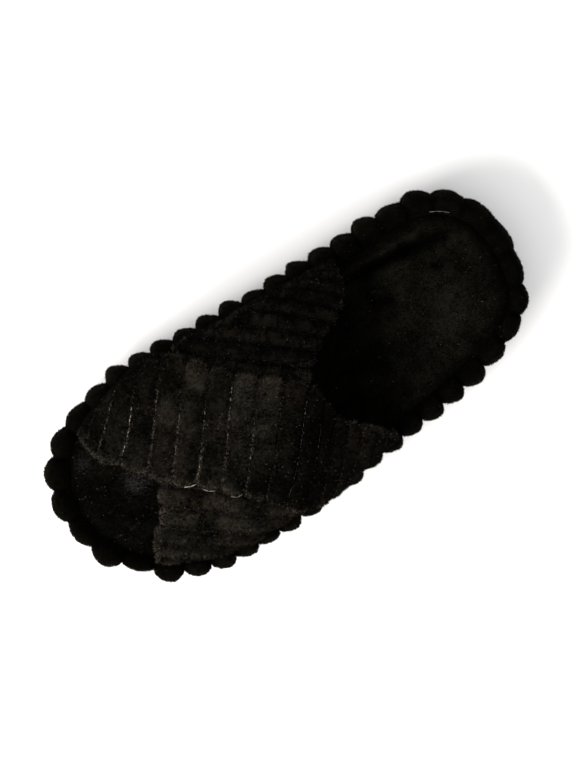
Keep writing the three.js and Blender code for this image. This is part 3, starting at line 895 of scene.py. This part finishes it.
def levelAt(places, height):  # how high a level of the straight model lies at each place
    flat = places[:, :2] - planShift[:2]
    return settle(np.column_stack([flat, np.full(len(places), height)]))[:, 2]


def upOf(normals):
    return normals[:, 2] / np.maximum(1e-9, np.linalg.norm(normals, axis=1))


def isAboveSeam(places, normals):  # thinner inside the arch, where the pile is worn short
    seam = levelAt(places, seamHeight)
    isOutside = normals[:, 1] * places[:, 1] + normals[:, 2] * (places[:, 2] - seam) > 0
    return (seam < places[:, 2]) * np.where(isOutside, 1.0, napSettings["insideShare"])


def isShownBand(places, normals):  # not the band's foot or its wall against the insole
    s = napSettings
    foot = levelAt(places, slipper["outsoleThick"] + s["footClear"])
    reach = reachTo(outline, places - planShift)
    isOuter = (reach < slipper["bindingWidth"] - s["wallClear"]) | (upOf(normals) > s["bandFacing"])
    return (places[:, 2] > foot) * isOuter * 1.0


def isShownBed(places, normals):
    return (upOf(normals) > napSettings["bedFacing"]) * 1.0


def growNap(name, source, piece, seed, keep):
    s, own = napSettings, napSettings[piece]
    pile = np.random.default_rng(seed)
    mesh = source.data
    mesh.calc_loop_triangles()
    corners = fetch(mesh.loop_triangles, "vertices", 3, np.int32)
    cloth = fetch(mesh.uv_layers[0].data, "uv", 2)[fetch(mesh.loop_triangles, "loops", 3, np.int32)]
    normals = fetch(mesh.vertex_normals, "vector", 3)
    places = readPoints(source) / mm
    a, b, c = (places[corners[:, k]] for k in range(3))
    outward = np.cross(b - a, c - a)
    areas = np.linalg.norm(outward, axis=1) / 2 * keep((a + b + c) / 3, outward)
    chosen = pile.choice(len(corners), own["count"], p=areas / areas.sum())
    u, v = pile.random(own["count"]), pile.random(own["count"])
    over = u + v > 1
    u[over], v[over] = 1 - u[over], 1 - v[over]
    weights = np.stack([1 - u - v, u, v], axis=1)
    root = (places[corners[chosen]] * weights[:, :, None]).sum(1)
    normal = unit((normals[corners[chosen]] * weights[:, :, None]).sum(1))
    shade, lint = ((values[corners[chosen]] * weights).sum(1) for values in readTone(source))
    # the ways the cloth runs, from how its own plan lies on each face
    ab, ac = (cloth[chosen, k] - cloth[chosen, 0] for k in (1, 2))
    toB, toC = (b - a)[chosen], (c - a)[chosen]
    ways = [toB * ac[:, 1, None] - toC * ab[:, 1, None], toC * ab[:, 0, None] - toB * ac[:, 0, None]]
    turned = np.sign(ab[:, 0] * ac[:, 1] - ab[:, 1] * ac[:, 0])[:, None]
    way = normal + pile.normal(0, own["stray"], (len(root), 3))
    for lean, run in zip(own["lean"], ways):
        way += lean * turned * run / np.maximum(1e-9, np.linalg.norm(run, axis=1))[:, None]
    way = unit(way - normal * np.minimum(0, (way * normal).sum(1) - s["upright"])[:, None])
    length = own["length"] * pile.uniform(*s["lengths"], len(root)) * (1 + lint)
    side = unit(np.cross(normal, pile.normal(size=(len(root), 3))))
    other = np.cross(normal, side)
    base = root - normal * s["sink"]
    points = np.empty((len(root), 4, 3))
    for k in range(3):
        angle = 2 * math.pi * k / 3
        off = side * math.cos(angle) + other * math.sin(angle)
        points[:, k] = base + off * own["width"] / math.sqrt(3)
    points[:, 3] = base + way * (length + s["sink"])[:, None]
    order = np.array([(0, 1, 3), (1, 2, 3), (2, 0, 3), (0, 2, 1)])
    faces = (order[None] + 4 * np.arange(len(root))[:, None, None]).reshape(-1, 3)
    nap = joinArrays(name, points.reshape(-1, 3) * mm, faces)
    onCloth = (cloth[chosen] * weights[:, :, None]).sum(1)
    light = 1 + own["hatch"] * patchy(onCloth, own["cells"], pile)
    shade = shade * pile.uniform(*s["shades"], len(root)) * np.maximum(s["darkest"], light)
    lit = (pile.random(len(root)) < lint) * pile.uniform(*s["lit"], len(root))
    # painted shade at the roots of the tufts
    ends = np.array([s["footShade"]] * 3 + [s["tipShade"]])
    writeTone(nap, (shade[:, None] * ends).ravel(), (lit[:, None] * ends).ravel())
    # a tuft takes the light much as its cloth does
    facing = unit(normal[:, None] + own["own"] * unit(points - base[:, None]))
    nap.data.normals_split_custom_set_from_vertices(facing.reshape(-1, 3))
    return nap


# Stitches: short bars of thread in the valleys between the ribs

stitchSettings = {
    "length": 1.5,
    "pitch": 1.9,
    "thick": 0.32,
    "rise": 0.80,
    "scatter": 0.30,
    "end": 0.6,
    "across": 0.93,
    "dim": 0.012,
    # seams whose thread shows painted glints: from and to across the strap, and how strong
    "bright": {
        "over": {
            1: (-0.95, 0.3, 0.35), 2: (-0.9, 0.0, 1.0), 3: (-0.9, 0.4, 0.25), 4: (-0.8, 0.1, 0.5),
            5: (-0.95, 0.6, 0.75), 6: (-0.9, 0.8, 0.5), 7: (-0.5, 0.4, 0.25), 9: (-0.8, 0.8, 0.25),
            10: (-0.3, 0.7, 0.2),
        },
        "under": {},
    },
    # the thread of the band's seam is bare on one stretch of the inner side of the heel
    "band": {
        "inset": 9.7, "length": 3.2, "pitch": 3.4, "rise": 0.75, "scatter": 0.15,
        # light: how pale the bare thread is, partly pale thread and partly painted highlight
        "from": -110.5, "to": -101.5, "light": 0.45,
    },
    "hem": {
        "length": 2.9, "pitch": 3.05, "rise": 1.0, "scatter": 0.15, "across": -0.97,
        # thread that shows where the over strap's front edge is sewn down: ribs from and to, and how strong
        # its painted glint is
        "shown": [(3.85, 4.45, 0.12), (4.55, 5.1, 0.8), (5.3, 5.95, 0.4), (6.45, 7.0, 0.3)],
    },
    "lowest": 2.0,
}


def layStitches(name, stitches):  # each a four-sided bar of thread with narrow ends
    s = stitchSettings
    points, faces, light = [], [], []
    for start, end, normal, lit in stitches:
        side = np.cross(normal, (end - start) / np.linalg.norm(end - start))
        first = len(points)
        for share, size in ((0, s["end"]), (0.5, 1.0), (1, s["end"])):
            for k in range(4):
                off = side * math.cos(math.pi * k / 2) + normal * math.sin(math.pi * k / 2)
                points.append(mix(start, end, share) + off * s["thick"] / 2 * size)
                light.append(lit)
        for ring in (first, first + 4):
            for k in range(4):
                p, q = ring + k, ring + (k + 1) % 4
                faces.append((p, q, q + 4, p + 4))
        faces.append(tuple(first + k for k in range(3, -1, -1)))
        faces.append(tuple(first + 8 + k for k in range(4)))
    thread = joinArrays(name, np.array(points) * mm, np.array(faces))
    writeTone(thread, np.ones(len(points)), light)
    return thread


def sewAlong(key, rib, across, settings, thread, lightAt):  # stitches along a line on a strap
    line = strapPlaces(key, rib, across, np.ones(len(rib)))
    normals = onStrap(key, rib, (across + 1) / 2)[1]
    lengths = lengthsOf(line)
    stitches = []
    for at in np.arange(0.5, lengths[-1] - settings["length"], settings["pitch"]):
        ends = []
        for reach in (at, at + settings["length"]):
            place, normal = alongRow(reach, lengths, line), alongRow(reach, lengths, normals)
            ends.append(place + normal * (settings["rise"] + thread.normal(0, settings["scatter"])))
        if min(ends[0][2], ends[1][2]) > stitchSettings["lowest"]:
            start, end = toWorld(np.array(ends) + (0, 0, seamHeight)) / mm
            stitches.append((start, end, normal, lightAt(np.interp(at, lengths, across), thread)))
    return stitches


def seamLight(bright, across, thread):  # dim thread, but for the stretch of a seam with painted glints
    dim = stitchSettings["dim"] * thread.uniform(0, 2)
    if bright and bright[0] < across < bright[1]:
        return max(dim, bright[2] * thread.uniform(0.1, 1.1) ** 3)
    return dim


def strapStitches(name, key, seed):
    s = stitchSettings
    thread = np.random.default_rng(seed)
    stitches = []
    across = np.linspace(-s["across"], s["across"], 53)
    for number in range(strapSettings[key]["rib"][0] + 1, strapSettings[key]["rib"][-1]):
        lightAt = partial(seamLight, s["bright"][key].get(number))
        stitches += sewAlong(key, np.full(53, number, float), across, s, thread, lightAt)
    if key == "over":
        hem = s["hem"]
        for first, last, light in hem["shown"]:
            rib, edge = np.linspace(first, last, 9), np.full(9, hem["across"])
            stitches += sewAlong(key, rib, edge, hem, thread, lambda across, thread: light)
    return layStitches(name, stitches)


def bandStitches(name, binding, seed):  # the seam where the band meets the bed, its thread bare at the heel
    s = stitchSettings["band"]
    thread = np.random.default_rng(seed)
    ring = closed(insetOutline(s["inset"]))
    lengths = lengthsOf(ring)
    tree = bodyTree(binding)
    stitches = []
    for at in np.arange(0, lengths[-1] - s["length"], s["pitch"]):
        x, y = alongRow(at, lengths, ring)
        if not (s["from"] < x < s["to"] and y < 0):
            continue
        ends = []
        for reach in (at, at + s["length"]):
            x, y = alongRow(reach, lengths, ring) + planShift[:2]
            hit = tree.ray_cast(Vector((x * mm, y * mm, 0.1)), Vector((0, 0, -1)))[0]
            ends.append(np.array(hit) / mm + (0, 0, s["rise"] + thread.normal(0, s["scatter"])))
        stitches.append((*ends, np.array((0.0, 0.0, 1.0)), s["light"] * thread.uniform(0.4, 1)))
    return layStitches(name, stitches)


# Finishes

def newGroup(name, inputs, outputs):
    group = bpy.data.node_groups.new(name, "ShaderNodeTree")
    for label, kind, value in inputs:
        socket = group.interface.new_socket(name=label, in_out="INPUT", socket_type=kind)
        socket.default_value = value
    for label, kind in outputs:
        group.interface.new_socket(name=label, in_out="OUTPUT", socket_type=kind)
    return group, group.nodes.new("NodeGroupInput"), group.nodes.new("NodeGroupOutput")


def noiseNode(tree, vector, scale, detail, rough):
    node = tree.nodes.new("ShaderNodeTexNoise")
    node.inputs["Scale"].default_value = scale
    node.inputs["Detail"].default_value = detail
    node.inputs["Roughness"].default_value = rough
    tree.links.new(vector, node.inputs["Vector"])
    return node.outputs["Fac"]


def mathNode(tree, operation, a, b):
    node = tree.nodes.new("ShaderNodeMath")
    node.operation = operation
    for value, socket in ((a, node.inputs[0]), (b, node.inputs[1])):
        if isinstance(value, (int, float)):
            socket.default_value = value
        else:
            tree.links.new(value, socket)
    return node.outputs[0]


def mixColours(tree, factor, a, b):
    node = tree.nodes.new("ShaderNodeMix")
    node.data_type = "RGBA"
    tree.links.new(factor, node.inputs["Factor"])
    for value, socket in ((a, node.inputs[6]), (b, node.inputs[7])):
        if isinstance(value, tuple):
            socket.default_value = value
        else:
            tree.links.new(value, socket)
    return node.outputs[2]


def attributeNode(tree, name):
    node = tree.nodes.new("ShaderNodeAttribute")
    node.attribute_name = name
    return node.outputs["Fac"]


def stretched(tree, value, gain):  # spread wider about its middle
    centred = mathNode(tree, "SUBTRACT", value, 0.5)
    return mathNode(tree, "ADD", mathNode(tree, "MULTIPLY", centred, gain), 0.5)


def pileGroup():  # plush in random light and dark patches, scaled by the shade attribute with its painted light and shade, darker in its seams by painted shade, with pale lint and painted glints
    grey = (0.03, 0.03, 0.03, 1)
    inputs = [(label, "NodeSocketColor", grey) for label in ("Dark", "Light", "Cool", "Lint")]
    inputs += [("Patch", "NodeSocketFloat", 90.0), ("Contrast", "NodeSocketFloat", 4.0)]
    outputs = [("Color", "NodeSocketColor"), ("Height", "NodeSocketFloat")]
    group, into, out = newGroup("pileAndPaintedLight", inputs, outputs)
    where = group.nodes.new("ShaderNodeTexCoord").outputs["Object"]
    patch = noiseNode(group, where, 1.0, 4.0, 0.6)
    group.links.new(into.outputs["Patch"], patch.node.inputs["Scale"])
    speckle = noiseNode(group, where, 1500.0, 3.0, 0.7)
    parts = mathNode(group, "MULTIPLY", patch, 0.6), mathNode(group, "MULTIPLY", speckle, 0.4)
    spread = stretched(group, mathNode(group, "ADD", *parts), into.outputs["Contrast"])
    hue = stretched(group, noiseNode(group, where, 55.0, 2.0, 0.5), 3.5)
    light = mixColours(group, hue, into.outputs["Cool"], into.outputs["Light"])
    shaded = group.nodes.new("ShaderNodeVectorMath")
    shaded.operation = "SCALE"
    group.links.new(mixColours(group, spread, into.outputs["Dark"], light), shaded.inputs[0])
    group.links.new(attributeNode(group, "shade"), shaded.inputs["Scale"])
    linted = mixColours(group, attributeNode(group, "lint"), shaded.outputs[0], into.outputs["Lint"])
    group.links.new(linted, out.inputs["Color"])
    group.links.new(speckle, out.inputs["Height"])
    return group


pileAndPaintedLight = pileGroup()

plushSettings = {
    "rough": 0.9,
    "specular": 0.01,
    "sheenRough": 0.35,
    "sheenTint": (0.66, 0.54, 0.40, 1),
    "bump": (0.6, 0.0008),
    "strap": {
        "dark": (0.0008, 0.0009, 0.0004, 1), "light": (0.0134, 0.0105, 0.0078, 1),
        "cool": (0.0094, 0.0091, 0.0068, 1), "lint": (0.066, 0.054, 0.043, 1),
        "patch": 62.0, "contrast": 6.0, "sheen": 0.006,
    },
    "binding": {
        "dark": (0.0005, 0.0005, 0.0003, 1), "light": (0.0029, 0.0025, 0.0015, 1),
        "cool": (0.0022, 0.0022, 0.0013, 1), "lint": (0.050, 0.042, 0.033, 1),
        "patch": 110.0, "contrast": 4.0, "sheen": 0.016,
    },
    "insole": {
        "dark": (0.0006, 0.0006, 0.0003, 1), "light": (0.0072, 0.0062, 0.0041, 1),
        "cool": (0.0062, 0.0061, 0.0042, 1), "lint": (0.080, 0.073, 0.068, 1),
        "patch": 64.0, "contrast": 4.2, "sheen": 0.008,
    },
}
rubberSettings = {
    "rough": 0.62,
    "specular": 0.12,
    "dark": (0.0045, 0.0043, 0.0040, 1),
    "light": (0.011, 0.0105, 0.010, 1),
    "grain": 1400.0,
    "wear": 45.0,
    "bump": (0.35, 0.0004),
}
threadSettings = {
    "rough": 0.6,
    "specular": 0.05,
    "dark": (0.002, 0.0018, 0.0012, 1),
    # colour of the painted glints on the thread
    "worn": (0.52, 0.47, 0.40, 1),
    "fray": 900.0,
}


def newMaterial(name, rough, specular):
    material = bpy.data.materials.new(name)
    material.use_nodes = True
    tree = material.node_tree
    shader = next(node for node in tree.nodes if node.type == "BSDF_PRINCIPLED")
    shader.inputs["Roughness"].default_value = rough
    shader.inputs["Specular IOR Level"].default_value = specular
    return material, tree, shader


def finish(tree, shader, color, height, strength, distance):  # the shader's colour and bump
    tree.links.new(color, shader.inputs["Base Color"])
    bump = tree.nodes.new("ShaderNodeBump")
    bump.inputs["Strength"].default_value = strength
    bump.inputs["Distance"].default_value = distance
    tree.links.new(height, bump.inputs["Height"])
    tree.links.new(bump.outputs[0], shader.inputs["Normal"])


def plushMaterial(piece):
    s, own = plushSettings, plushSettings[piece]
    material, tree, shader = newMaterial(piece + "Plush", s["rough"], s["specular"])
    shader.inputs["Sheen Weight"].default_value = own["sheen"]
    shader.inputs["Sheen Roughness"].default_value = s["sheenRough"]
    shader.inputs["Sheen Tint"].default_value = s["sheenTint"]
    group = tree.nodes.new("ShaderNodeGroup")
    group.node_tree = pileAndPaintedLight
    for label in ("dark", "light", "cool", "lint", "patch", "contrast"):
        group.inputs[label.capitalize()].default_value = own[label]
    finish(tree, shader, group.outputs["Color"], group.outputs["Height"], *s["bump"])
    return material


def rubberMaterial():
    s = rubberSettings
    material, tree, shader = newMaterial("mouldedRubber", s["rough"], s["specular"])
    where = tree.nodes.new("ShaderNodeTexCoord").outputs["Object"]
    color = mixColours(tree, noiseNode(tree, where, s["wear"], 4.0, 0.6), s["dark"], s["light"])
    finish(tree, shader, color, noiseNode(tree, where, s["grain"], 2.0, 0.5), *s["bump"])
    return material


def threadMaterial():  # dark, and pale where the lint attribute paints glints on it
    s = threadSettings
    material, tree, shader = newMaterial("sewingThread", s["rough"], s["specular"])
    where = tree.nodes.new("ShaderNodeTexCoord").outputs["Object"]
    fray = mathNode(tree, "ADD", noiseNode(tree, where, s["fray"], 3.0, 0.6), 0.5)
    worn = mathNode(tree, "MULTIPLY", attributeNode(tree, "lint"), fray)
    tree.links.new(mixColours(tree, worn, s["dark"], s["worn"]), shader.inputs["Base Color"])
    return material


# Making

overStrap = makeStrap("overStrap", "over")
underStrap = makeStrap("underStrap", "under")
print("straps draped")

binding = makeBinding()
insole = makeInsole()
strapTrees = [bodyTree(overStrap), bodyTree(underStrap)]
for pad in (binding, insole):
    pressClear(pad, strapTrees, slipper["gap"] * mm, slipper["pressReach"] * mm)
print("binding and insole sewn round the straps")

outsole = makeOutsole()
tread = makeTread()
print("outsole moulded")

overNap = growNap("overStrapNap", overStrap, "overStrap", 21, isAboveSeam)
underNap = growNap("underStrapNap", underStrap, "underStrap", 22, isAboveSeam)
bindingNap = growNap("bindingNap", binding, "binding", 23, isShownBand)
insoleNap = growNap("insoleNap", insole, "insole", 24, isShownBed)
overThread = strapStitches("overStrapStitches", "over", 31)
underThread = strapStitches("underStrapStitches", "under", 32)
bandThread = bandStitches("bandStitches", binding, 33)
print("nap and stitches laid")

strapPlush = plushMaterial("strap")
bindingPlush = plushMaterial("binding")
insolePlush = plushMaterial("insole")
rubber = rubberMaterial()
thread = threadMaterial()
finished = [
    (overStrap, strapPlush, "upper", ["upper"]),
    (underStrap, strapPlush, "upper", ["upper"]),
    (overNap, strapPlush, "upper", []),
    (underNap, strapPlush, "upper", []),
    (overThread, thread, "upper", []),
    (underThread, thread, "upper", []),
    (bandThread, thread, "binding", []),
    (binding, bindingPlush, "binding", ["binding"]),
    (bindingNap, bindingPlush, "binding", []),
    (insole, insolePlush, "insole", ["insole"]),
    (insoleNap, insolePlush, "insole", []),
    (outsole, rubber, "outsole", ["outsole"]),
    (tread, rubber, "outsole", []),
]
for obj, material, slot, replaced in finished:
    obj.data.materials.clear()
    obj.data.materials.append(material)
    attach(obj, "root")
    if replaced:
        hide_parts(*replaced)
print("finishes set")

# Studio

studioSettings = {
    "floor": (0.92, 0.92, 0.92, 1),
    "tilt": 8.0,
    "turn": 31.0,
    "distance": 1.7,
    "sensor": 24.0,
    "pixelSize": 0.497,
    "middle": (287.9, 392.0),
    "aim": (1.85, 0.0, 20.0),
    "frame": (576, 768),
    "world": 0.98,
    "key": {
        "place": (1.6, 0.15, 1.05), "target": (0, 0, 0.03), "size": (1.4, 1.0), "power": 66,
        "color": (1.0, 0.97, 0.93),
    },
}


def makeFloor():
    selectNothing()
    bpy.ops.mesh.primitive_plane_add(size=8, location=(0, 0, 0))
    floor = bpy.context.object
    floor.name = "floor"
    material, _, shader = newMaterial("paleFloor", 0.9, 0.5)
    shader.inputs["Base Color"].default_value = studioSettings["floor"]
    floor.data.materials.append(material)


def makeLight():  # one large soft lamp, and white all round
    s = studioSettings["key"]
    data = bpy.data.lights.new("keySoftbox", "AREA")
    data.shape = "RECTANGLE"
    data.size, data.size_y = s["size"]
    data.energy = s["power"]
    data.color = s["color"]
    light = bpy.data.objects.new("keySoftbox", data)
    bpy.context.scene.collection.objects.link(light)
    light.location = s["place"]
    light.rotation_euler = (Vector(s["target"]) - Vector(s["place"])).to_track_quat("-Z", "Y").to_euler()
    world = bpy.data.worlds.new("studio")
    world.use_nodes = True
    background = world.node_tree.nodes["Background"]
    background.inputs["Color"].default_value = (1, 1, 1, 1)
    background.inputs["Strength"].default_value = studioSettings["world"]
    bpy.context.scene.world = world


def makeCamera():
    s = studioSettings
    data = bpy.data.cameras.new("camera")
    camera = bpy.data.objects.new("camera", data)
    bpy.context.scene.collection.objects.link(camera)
    turn, tilt = math.radians(s["turn"]), math.radians(s["tilt"])
    back = Vector((0, -math.sin(tilt), math.cos(tilt)))
    right = Vector((-math.cos(turn), math.sin(turn), 0))
    right = (right - back * right.dot(back)).normalized()
    up = back.cross(right)
    width, height = s["frame"]
    scale = s["pixelSize"] * mm
    middle = Vector((planShift[0] + s["aim"][0], planShift[1] + s["aim"][1], s["aim"][2])) * mm
    aim = middle - right * (s["middle"][0] - width / 2) * scale + up * (s["middle"][1] - height / 2) * scale
    place = aim + back * s["distance"]
    camera.matrix_world = Matrix.Translation(place) @ Matrix((right, up, back)).transposed().to_4x4()
    data.sensor_fit = "VERTICAL"
    data.sensor_height = s["sensor"]
    data.lens = s["sensor"] * s["distance"] / (height * scale)
    data.dof.use_dof = False
    data.clip_end = 50
    bpy.context.scene.camera = camera


makeFloor()
makeCamera()
makeLight()
bpy.context.scene.view_settings.view_transform = "Standard"
print("studio lit")
